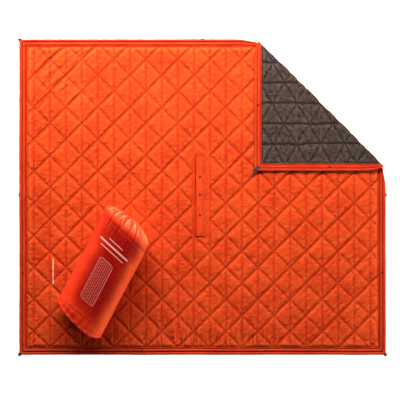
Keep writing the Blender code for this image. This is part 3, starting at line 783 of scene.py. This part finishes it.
binding.counts = {"binding": (170, 220, 260, 130), "corner_binding": (92, 92)}
R = math.radians
main_binding, main_rings, main_flat = binding(
    "binding",
    [((-HX, HY), (-1, 1), R(90), R(180)), ((-HX, -HY), (-1, -1), R(180), R(270)), ((HX, -HY), (1, -1), R(270), R(360))],
    lambda w: (FOLD_SUM - (HY - w), HY - w), lambda w: (HX - w, FOLD_SUM - (HX - w)), "blanket", False, (1, -1), (-1, 1))
corner_binding, corner_rings, corner_flat = binding(
    "corner_binding",
    [((HX, HY), (1, 1), R(0), R(90))],
    lambda w: (HX - w, FOLD_SUM - (HX - w)), lambda w: (FOLD_SUM - (HY - w), HY - w), "corner", True, (-1, 1), (1, -1))


def binding_fold(name, ring, flat):
    """The tape's own half turn round the fold."""
    u = np.linspace(0, math.pi, 15)
    r = (AXIS_Z - ring[:, 2])[None, :]
    foot = np.stack([(FOLD_SUM + ring[:, 0] - ring[:, 1]) / 2, (FOLD_SUM - ring[:, 0] + ring[:, 1]) / 2], -1)
    bulge = r * np.sin(u)[:, None] / SQ2
    points = np.stack([foot[None, :, 0] + bulge, foot[None, :, 1] + bulge, AXIS_Z - r * np.cos(u)[:, None]], -1)
    pts, faces = outward(*tube(points, caps=False))
    uv = np.stack([flat[None, :, 0] + (r * u[:, None]), np.broadcast_to(flat[None, :, 1], points.shape[:2])], -1)
    return bend(make(name, pts, faces, BINDING, uv, None))


fold_top = binding_fold("binding_fold_top", main_rings[0], main_flat[0])
fold_right = binding_fold("binding_fold_right", main_rings[-1], main_flat[-1])


# ---------------------------------------------------------------- neck slit, placket and its hem
def slab(name, x, y, z, look, body, edge=0.0007, lines_at=(), groove=0.0006, step=0.003, wave=0.0, seed=71):
    """A thin sewn strip with rounded edges, ridged beside its stitching."""
    nx, ny = max(6, int((x[1] - x[0]) / step)), max(6, int((y[1] - y[0]) / step))
    us, vs = np.linspace(0, 1, nx + 1), np.linspace(0, 1, ny + 1)
    gx, gy = np.meshgrid(x[0] + (x[1] - x[0]) * us, y[0] + (y[1] - y[0]) * vs, indexing="ij")
    inset = np.minimum(np.minimum(gx - x[0], x[1] - gx), np.minimum(gy - y[0], y[1] - gy))
    lift = 1 - np.clip(1 - inset / edge, 0, 1) ** 2
    mid, half = (z[0] + z[1]) / 2, (z[1] - z[0]) / 2
    relief = sum(-groove * np.exp(-(((inset - at) / 0.0013) ** 2)) for at in lines_at) if lines_at else 0.0
    relief = relief + wave * noise(gx, gy * 0.5, 0.02, seed, 2) * smooth(0, 0.004, inset)
    top = mid + half * np.sqrt(np.clip(lift, 0, 1)) + relief
    low = mid - half * np.sqrt(np.clip(lift, 0, 1))
    n, m = gx.shape
    pts = np.concatenate([np.stack([gx, gy, top], -1).reshape(-1, 3), np.stack([gx, gy, low], -1).reshape(-1, 3)])
    a = np.arange(n * m).reshape(n, m)
    q = grid_faces(n, m)
    rim = np.concatenate([a[:, 0], a[-1, 1:], a[-2::-1, -1], a[0, -2:0:-1]])
    nxt = np.roll(rim, -1)
    side = np.stack([rim + n * m, nxt + n * m, nxt, rim], -1)
    faces = q.tolist() + (q[:, ::-1] + n * m).tolist() + side.tolist()
    flat = np.stack([gx - x[0], gy - y[0]], -1).reshape(-1, 2)
    return make(name, pts, faces, look, np.concatenate([flat, flat]), body)


def trim_material():
    g = Graph("placket_nylon", (0.76, 0.062, 0.014), 0.54)
    tex = g.node("ShaderNodeTexCoord").outputs["Object"]
    broad, fine = g.noise(16.0, 3.0, 0.55), g.noise(150.0, 3.0, 0.6)
    base = g.mix(g.range(broad, 0.3, 0.7), (0.56, 0.044, 0.009), (0.68, 0.064, 0.012))
    base = g.mix(g.math("MULTIPLY", g.range(fine, 0.45, 0.7), 0.25), base, (0.76, 0.10, 0.022))
    g.shader.inputs["Specular IOR Level"].default_value = 0.09
    g.shader.inputs["Sheen Weight"].default_value = 0.1
    g.shader.inputs["Sheen Tint"].default_value = (1.0, 0.42, 0.22, 1)
    return g.done(base, g.bump(fine, 0.002, 0.5))


def placket_material():
    g = Graph("placket_face", (0.62, 0.060, 0.010), 0.82)
    u, v, uv = g.flat()
    broad, fine = g.noise(16.0, 3.0, 0.55), g.noise(120.0, 3.0, 0.6, uv, 0.4)
    base = g.mix(g.range(broad, 0.3, 0.7), (0.58, 0.050, 0.009), (0.70, 0.074, 0.012))
    base = g.mix(g.math("MULTIPLY", g.range(fine, 0.45, 0.7), 0.3), base, (0.78, 0.115, 0.024))
    base = g.mix(g.math("MULTIPLY", g.range(fine, 0.45, 0.25), 0.4), base, (0.42, 0.026, 0.006))
    # painted shadow along the open left edge, over the slit; then the stitch lines and the box-stitch bars at both ends
    edge_shadow_and_stitching = g.range(u, 0.0018, 0.0056, 1.0, 0.0)
    for at, width, deep in ((0.0330, 0.0016, 0.75), (0.0395, 0.0012, 0.45)):
        edge_shadow_and_stitching = g.math("MAXIMUM", edge_shadow_and_stitching, g.range(g.math("ABSOLUTE", g.math("SUBTRACT", u, at)), 0.0004, width, deep, 0.0))
    length = PLACKET_Y[1] - PLACKET_Y[0]
    for at, width in ((0.0022, 0.0020), (0.0110, 0.0014), (length - 0.0022, 0.0020), (length - 0.0110, 0.0014)):
        edge_shadow_and_stitching = g.math("MAXIMUM", edge_shadow_and_stitching, g.range(g.math("ABSOLUTE", g.math("SUBTRACT", v, at)), 0.0005, width + 0.0006, 0.80, 0.0))
    base = g.mix(edge_shadow_and_stitching, base, (0.24, 0.007, 0.003))
    g.shader.inputs["Specular IOR Level"].default_value = 0.09
    return g.done(base, g.bump(fine, 0.004, 0.6))


TRIM, PLACKET = trim_material(), placket_material()
placket = slab("placket_panel", PLACKET_X, PLACKET_Y, PLACKET_Z, PLACKET, "placket", 0.0011, (0.0035, 0.0085), 0.0006, 0.0022, 0.0005)
hem = slab("placket_seam", (0.0092, 0.0165), PLACKET_Y, (0.0122, 0.0138), TRIM, "blanket", 0.0010, (0.0030,), 0.0006, 0.0016)
# the slit's bound lips, through all the layers
lips = []
for k, (x0, y0, x1, y1) in enumerate(((SLOT_X[0], SLOT_Y[0], SLOT_X[1], SLOT_Y[1]),)):
    outer = np.array([(x0 - 0.0012, y0 - 0.0012), (x1 + 0.0012, y0 - 0.0012), (x1 + 0.0012, y1 + 0.0012), (x0 - 0.0012, y1 + 0.0012)])
    inner = np.array([(x0, y0), (x1, y0), (x1, y1), (x0, y1)])
    rings = []
    for t in np.linspace(0, 2 * math.pi, 9)[:-1]:
        zz = 0.0062 + 0.0060 * math.sin(t)
        share = 0.5 + 0.5 * math.cos(t)
        edge = inner + (outer - inner) * share
        per = []
        for c in range(4):
            a, b = edge[c], edge[(c + 1) % 4]
            for v in np.linspace(0, 1, 13)[:-1]:
                per.append((*(a + (b - a) * v), zz))
        rings.append(per)
    rings = np.array(rings)
    faces = grid_faces(rings.shape[0], rings.shape[1], True, True)
    pts, faces = outward(rings.reshape(-1, 3), [tuple(q) for q in faces])
    lips = make("neck_slit_lips", pts, faces, TRIM, None, "blanket")


# ---------------------------------------------------------------- snaps
def snap(name, x, y, low, high, radius, body, upside=False, node=None, sides=36):
    h = high - low
    profile = [(0.0, 0.62), (0.22, 0.60), (0.34, 0.70), (0.42, 0.94), (0.52, 1.0), (0.66, 0.96), (0.76, 0.74), (0.84, 0.60), (0.93, 0.56), (1.0, 0.38), (1.0, 0.12), (0.94, 0.0), (0.0, 0.0)]
    rings = []
    for share, up in profile:
        share = max(share, 0.02)
        z = high - up * h if upside else low + up * h
        rings.append([(x + radius * share * math.cos(a), y + radius * share * math.sin(a), z) for a in np.linspace(0, 2 * math.pi, sides + 1)[:-1]])
    pts, faces = outward(*tube(np.array(rings)))
    piece = make(name, pts, faces, SNAP, None, body)
    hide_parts(node)
    return piece


def at_node(node):
    low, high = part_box(node)
    return (low[0] + high[0]) / 2, (low[1] + high[1]) / 2, low[2], high[2]


for node in ("snap_bottom_1", "snap_bottom_2", "snap_bottom_3", "snap_bottom_4", "snap_left", "snap_right"):
    x, y, lo, hi = at_node(node)
    snap(f"{node}_cap", x, y, lo - 0.0010, hi, 0.0055, "blanket", node=node)
x, y, lo, hi = at_node("snap_top")
covered = snap("snap_top_cap", x, y, lo - 0.0010, hi, 0.0055, "blanket", node="snap_top")
covered.data.materials[0] = TRIM
for k in (1, 2, 3):
    x, y, lo, hi = at_node(f"neck_stud_{k}")
    snap(f"neck_stud_{k}_post", x, y, lo - 0.0010, hi, 0.0040, "blanket", node=f"neck_stud_{k}")
    x, y, lo, hi = at_node(f"placket_cap_{k}")
    snap(f"placket_cap_{k}_cap", x, y, lo - 0.0004, hi, 0.0055, "placket", node=f"placket_cap_{k}")
for node in ("corner_snap_top", "corner_snap_right"):
    x, y, lo, hi = at_node(node)
    snap(f"{node}_stud", x, y, lo - 0.0008, hi, 0.0055, "corner", node=node)


# ---------------------------------------------------------------- loops and tabs
def frame_at(out, at):
    o = np.array(out, float)
    o /= np.linalg.norm(o)
    side = np.array([-o[1], o[0]])
    return lambda t, s: np.array([at[0] + o[0] * t + side[0] * s, at[1] + o[1] * t + side[1] * s])


def tab(name, out, at, body, flip, node):
    put = frame_at(out, at)
    ts, ss = np.linspace(-0.035, 0.0006, 20), np.linspace(-0.008, 0.008, 11)
    rows = []
    for t in ts:
        ring = []
        for s in ss:
            edge = math.sqrt(max(0.0, 1 - (abs(s) / 0.008) ** 6))
            ring.append((*put(t, s), 0.00115 + 0.00075 * edge))
        for s in ss[::-1]:
            edge = math.sqrt(max(0.0, 1 - (abs(s) / 0.008) ** 6))
            ring.append((*put(t, s), 0.00115 - 0.00075 * edge - 0.00001))
        rows.append(ring)
    points = np.array(rows)
    flat = np.broadcast_to(np.stack([np.repeat(ts[:, None], 22, 1), np.repeat(np.concatenate([ss, ss[::-1]])[None], 20, 0)], -1), (20, 22, 2))
    if flip:
        points = folded(points)
    pts, faces = outward(*tube(points))
    piece = make(name, pts, faces, WEBBING, flat, body)
    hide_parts(node)


def loop(name, out, at, reach, body, flip, node):
    put = frame_at(out, at)
    w = 0.0065
    centre = reach - 0.008
    path = [(0.0018, -w + 0.0005)] + [(centre + w * math.cos(a), w * math.sin(a)) for a in np.radians(np.linspace(-90, 90, 21))] + [(0.0018, w - 0.0005)]
    path = [(0.0018, v) for v in np.linspace(0, -w + 0.0005, 5)[:-1]] + path + [(0.0018, v) for v in np.linspace(w - 0.0005, 0, 5)[1:-1]]
    path = np.array(path)
    n = len(path)
    tangent = np.roll(path, -1, 0) - np.roll(path, 1, 0)
    tangent /= np.linalg.norm(tangent, axis=1, keepdims=True)
    normal = np.stack([tangent[:, 1], -tangent[:, 0]], -1)
    s = np.concatenate([[0], np.cumsum(np.linalg.norm(np.diff(path, axis=0), axis=1))])
    rings, flat = [], []
    for k in range(n):
        ring, f = [], []
        for a in np.linspace(0, 2 * math.pi, 11)[:-1]:
            off = 0.0014 * math.copysign(abs(math.cos(a)) ** 0.7, math.cos(a))
            z = 0.00115 + 0.00075 * math.copysign(abs(math.sin(a)) ** 0.7, math.sin(a))
            q = path[k] + normal[k] * off
            ring.append((*put(*q), z))
            f.append((s[k], off))
        rings.append(ring)
        flat.append(f)
    rings = np.array(rings)
    if flip:
        rings = folded(rings)
    faces = [tuple(q) for q in grid_faces(n, 10, True, True)]
    pts, faces = outward(rings.reshape(-1, 3), faces)
    piece = make(name, pts, faces, WEBBING, np.array(flat), body)
    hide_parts(node)


STRAIGHT, DIAGONAL = 0.012, 0.004 * SQ2 + 0.008
for key, out, at in (("tl", (-1, 1), (-HX, HY)), ("bl", (-1, -1), (-HX, -HY)), ("br", (1, -1), (HX, -HY)), ("top", (0, 1), (0.0, HY)), ("left", (-1, 0), (-HX, 0.01)), ("right", (1, 0), (HX, 0.01))):
    tab(f"tab_{key}_web", out, at, "blanket", False, f"tab_{key}")
    loop(f"loop_{key}_web", out, at, DIAGONAL if abs(out[0] * out[1]) else STRAIGHT, f"loop_{key}", False, f"loop_{key}")
tab("corner_tab_web", (1, 1), (HX, HY), "corner", True, "corner_tab")
loop("loop_corner_web", (1, 1), (HX, HY), DIAGONAL, "loop_corner", True, "loop_corner")

# ---------------------------------------------------------------- stuff sack
SACK_BASE = np.array([-0.5904, -0.5790])
SACK_LEN, SACK_A, SACK_B = 0.487, 0.135, 0.100
SACK_BOTTOM, SACK_SKEW, END, BASE_BOW = 0.0126, -0.268, 0.050, 0.035
A_DIR = np.array([0.461, 0.887]) / np.hypot(0.461, 0.887)
P_DIR = np.array([A_DIR[1], -A_DIR[0]])


def sack_skin():
    around, rows = ((220, 190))
    theta = np.linspace(0, 2 * math.pi, around + 1)[:-1]  # from +P_DIR, anticlockwise to the top
    # v runs -1..0 over the base, 0..1 along the side, 1..2 over the mouth
    v = np.concatenate([np.linspace(-1, 0, rows // 4 + 1)[:-1], np.linspace(0, 1, rows // 2 + 1)[:-1], np.linspace(1, 2, rows // 4 + 1)])
    tt, vv = np.meshgrid(theta, v, indexing="xy")  # (rows, around)
    c, s = np.cos(tt), np.sin(tt)
    e = np.where(s > 0, 2 / 2.15, 2 / 2.5)
    cx, cz = np.sign(c) * np.abs(c) ** e, np.sign(s) * np.abs(s) ** e
    base_u, mouth_u = np.clip(-vv, 0, 1), np.clip(vv - 1, 0, 1)
    share = np.where(vv < 0, 1 - base_u**1.15, np.where(vv > 1, 1 - 0.985 * mouth_u**1.1, 1.0))
    share = np.clip(share, 0.006, 1)
    bow = BASE_BOW * np.sqrt(np.clip(1 - np.abs(cx * share) ** 2.2, 0, 1))
    rise_b = bow + 0.008 * np.sqrt(np.clip(1 - share**5, 0, 1))
    rise_m = END * np.sqrt(np.clip(1 - share ** (2.2 + 1.6 * np.clip(cz, 0, 1) ** 2), 0, 1))
    t = np.where(vv < 0, -rise_b, np.where(vv > 1, SACK_LEN + rise_m, vv * SACK_LEN - bow * np.clip(1 - vv, 0, 1) ** 4))
    along = np.clip(vv, 0, 1) * SACK_LEN
    from_seam = np.where(vv < 0, -(1 - share) * 0.10, along)
    # relief, in metres outward: slack dents, pulled folds near the mouth, gathers over it, a corded seam at the base
    arc = tt * 0.118
    wrap = lambda scale, seed, oct=2, sx=1.0, sy=1.0: noise(np.cos(tt) * 0.118 * sx + t * 0.31 * sy, np.sin(tt) * 0.118 * sx + t * 0.95 * sy, scale, seed, oct)
    dent = 0.0022 * (wrap(0.15, 81) - 0.25)
    crease = 0.0016 * (1 - 2 * np.abs(wrap(0.055, 82, 2, 1.0, 0.45))) * 0.6
    pulled = smooth(0.26, 0.49, along) * (vv <= 1) + (vv > 1) * 1.0
    wob = noise(np.cos(tt) * 0.3, np.sin(tt) * 0.3 + t * 0.4, 0.10, 83, 2)
    gather = np.cos(tt * 21 + 5.0 * wob) * 0.62 + np.cos(tt * 34 + 6.0 * wob + 1.3) * 0.38
    fold = 0.0030 * pulled * gather * (0.45 + 0.55 * smooth(0.36, 0.52, t))
    over = (vv > 1) * 0.0052 * gather * smooth(1.02, 0.35, share) * smooth(0.0, 0.25, share)
    seam_b = 0.0012 * np.exp(-((from_seam / 0.0024) ** 2)) - 0.0022 * np.exp(-(((np.abs(from_seam) - 0.0068) / 0.0036) ** 2))
    seam_m = -0.0022 * np.exp(-(((t - SACK_LEN + 0.030) / 0.0030) ** 2)) - 0.0016 * np.exp(-(((t - SACK_LEN + 0.002) / 0.0030) ** 2))
    # short folds where the side meets the base seam
    start = smooth(0.060, 0.004, along) * (vv >= 0)
    nip = 0.0022 * start * np.cos(tt * 27 + 4 * wob)
    pleat = sum(0.0022 * np.exp(-(((along - at - 0.006 * wob) / 0.0042) ** 2)) for at in (0.024, 0.041)) * (vv >= 0) * smooth(0.045, -0.010, cx * SACK_A) * smooth(-0.110, -0.080, cx * SACK_A) * smooth(0.3, 0.7, cz)
    relief = np.where(vv < 0, 0.5, 1.0) * dent + crease + fold + seam_b + seam_m + nip + pleat
    under = smooth(-0.55, -0.95, cz)  # what lies on the blanket stays pressed flat
    relief = relief * (1 - 0.9 * under) - 0.0022
    rx, rz = SACK_A * share, SACK_B * share
    nx, nz = cx / SACK_A, cz / SACK_B
    ln = np.maximum(np.hypot(nx, nz), 1e-9)
    nx, nz = nx / ln, nz / ln
    facing = np.clip(share, 0, 1) ** 0.5
    x = cx * rx + nx * relief * facing
    z = cz * rz + nz * relief * facing
    t = t + np.where(vv > 1, 1, np.where(vv < 0, -1, 0)) * (relief + 0.0022 + over) * (1 - facing)
    # the pucker that the mouth is drawn into
    t = t - (vv > 1) * 0.016 * smooth(0.16, 0.02, share)
    z = np.maximum(z, -SACK_B + 0.0004)
    t2 = t + SACK_SKEW * x
    px = SACK_BASE[0] + A_DIR[0] * t2 + P_DIR[0] * x
    py = SACK_BASE[1] + A_DIR[1] * t2 + P_DIR[1] * x
    pz = SACK_BOTTOM + SACK_B + z
    points = np.stack([px, py, pz], -1)
    # round the sack, measured from its top
    top = (math.pi / 2 - tt + math.pi) % (2 * math.pi) - math.pi
    flat_u = top * 0.1185
    return points, np.stack([flat_u, t], -1)


sack_points, sack_flat = sack_skin()
rows, cols = sack_points.shape[:2]
# one seam column is doubled, so that the flat cut doesn't wrap inside a face
cutcol = int(np.argmax(np.abs(np.diff(np.concatenate([sack_flat[0, :, 0], sack_flat[0, :1, 0]])))))
order = [(cutcol + 1 + k) % cols for k in range(cols)] + [(cutcol + 1) % cols]
sp, sf = sack_points[:, order], sack_flat[:, order].copy()
sf[:, -1, 0] = sf[:, -2, 0] + (sf[:, -2, 0] - sf[:, -3, 0])
faces = [tuple(q) for q in grid_faces(rows, cols + 1)]
pts, faces = outward(sp.reshape(-1, 3), faces)
sack = make("sack_skin", pts, faces, SACK, sf, "sack")
weld = sack.modifiers.new("weld", "WELD")
weld.merge_threshold = 0.00002
seam_ring = []
ring_theta = np.linspace(0, 2 * math.pi, 121)[:-1]
for a in ring_theta:
    c, s = math.cos(a), math.sin(a)
    e = 2 / 2.15 if s > 0 else 0.8
    x, z = SACK_A * math.copysign(abs(c) ** e, c), SACK_B * math.copysign(abs(s) ** e, s)
    nrm = np.array([x / SACK_A**2, z / SACK_B**2])
    nrm /= np.linalg.norm(nrm)
    per = []
    for b in np.linspace(0, 2 * math.pi, 9)[:-1]:
        r = 0.0016
        back = BASE_BOW * math.sqrt(max(0.0, 1 - abs(x / SACK_A) ** 2.2))
        xx, zz, t = x + nrm[0] * (r * math.cos(b) - 0.0018), z + nrm[1] * (r * math.cos(b) - 0.0018), r * math.sin(b) - back
        zz = max(zz, -SACK_B + 0.0004)
        q = SACK_BASE + A_DIR * (t + SACK_SKEW * xx) + P_DIR * xx
        per.append((q[0], q[1], SACK_BOTTOM + SACK_B + zz))
    seam_ring.append(per)
seam_ring = np.array(seam_ring)
pts, faces = outward(seam_ring.reshape(-1, 3), [tuple(q) for q in grid_faces(120, 8, True, True)])
piping = make("sack_piping", pts, faces, TRIM, None, "sack")

# ---------------------------------------------------------------- what stands for what
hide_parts("shell", "batting")
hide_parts("lining")
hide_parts("corner_shell", "corner_batting")
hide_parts("corner_lining")
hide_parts("binding_top", "binding_left", "binding_bottom", "binding_right")
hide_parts("corner_binding_top", "corner_binding_right")
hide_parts("placket")
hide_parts("placket_hem")
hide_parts("sack_side", "sack_base", "sack_mouth", "sack_mouth_hem", "sack_roll")
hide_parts("sack_base_piping")

# ---------------------------------------------------------------- floor, light and camera
bpy.ops.mesh.primitive_plane_add(size=80, location=(0, 0, -0.0004))
floor = bpy.context.object
floor.name = "floor"
g = Graph("floor", (0.90, 0.90, 0.90), 0.8)
g.shader.inputs["Emission Color"].default_value = (1, 1, 1, 1)
g.shader.inputs["Emission Strength"].default_value = 0.95
floor.data.materials.append(g.material)


def area_light(name, place, aim, size, power, colour=(1, 1, 1)):
    data = bpy.data.lights.new(name, "AREA")
    data.shape, data.size, data.size_y = "RECTANGLE", size[0], size[1]
    data.energy, data.color = power, colour
    lamp = bpy.data.objects.new(name, data)
    lamp.location = place
    lamp.rotation_euler = (Vector(aim) - Vector(place)).to_track_quat("-Z", "Y").to_euler()
    bpy.context.scene.collection.objects.link(lamp)
    return lamp


area_light("key", (-0.35, 2.65, 1.75), (0, 0.1, 0), (4.0, 1.1), 325)
area_light("fill", (-1.2, 0.6, 4.2), (0, 0, 0), (3.4, 3.0), 4)
area_light("side", (3.2, -1.2, 0.75), (-0.5, -0.3, 0.1), (1.8, 0.8), 72)
world = bpy.data.worlds.new("world")
world.use_nodes = True
world.node_tree.nodes["Background"].inputs["Color"].default_value = (1, 1, 1, 1)
world.node_tree.nodes["Background"].inputs["Strength"].default_value = 0.065
bpy.context.scene.world = world

PX = 0.004845
camera = bpy.data.objects.new("camera", bpy.data.cameras.new("camera"))
HEIGHT = 18.0
camera.location = (-2.5 * PX, -3.0 * PX, HEIGHT)
camera.rotation_euler = (0, 0, 0)
camera.data.sensor_width = 36
camera.data.lens = 36 * (HEIGHT - 0.010) / (400 * PX)
camera.data.clip_end = 100
bpy.context.scene.collection.objects.link(camera)
bpy.context.scene.camera = camera
bpy.context.scene.view_settings.view_transform = "Standard"
bpy.context.scene.view_settings.gamma = 0.88
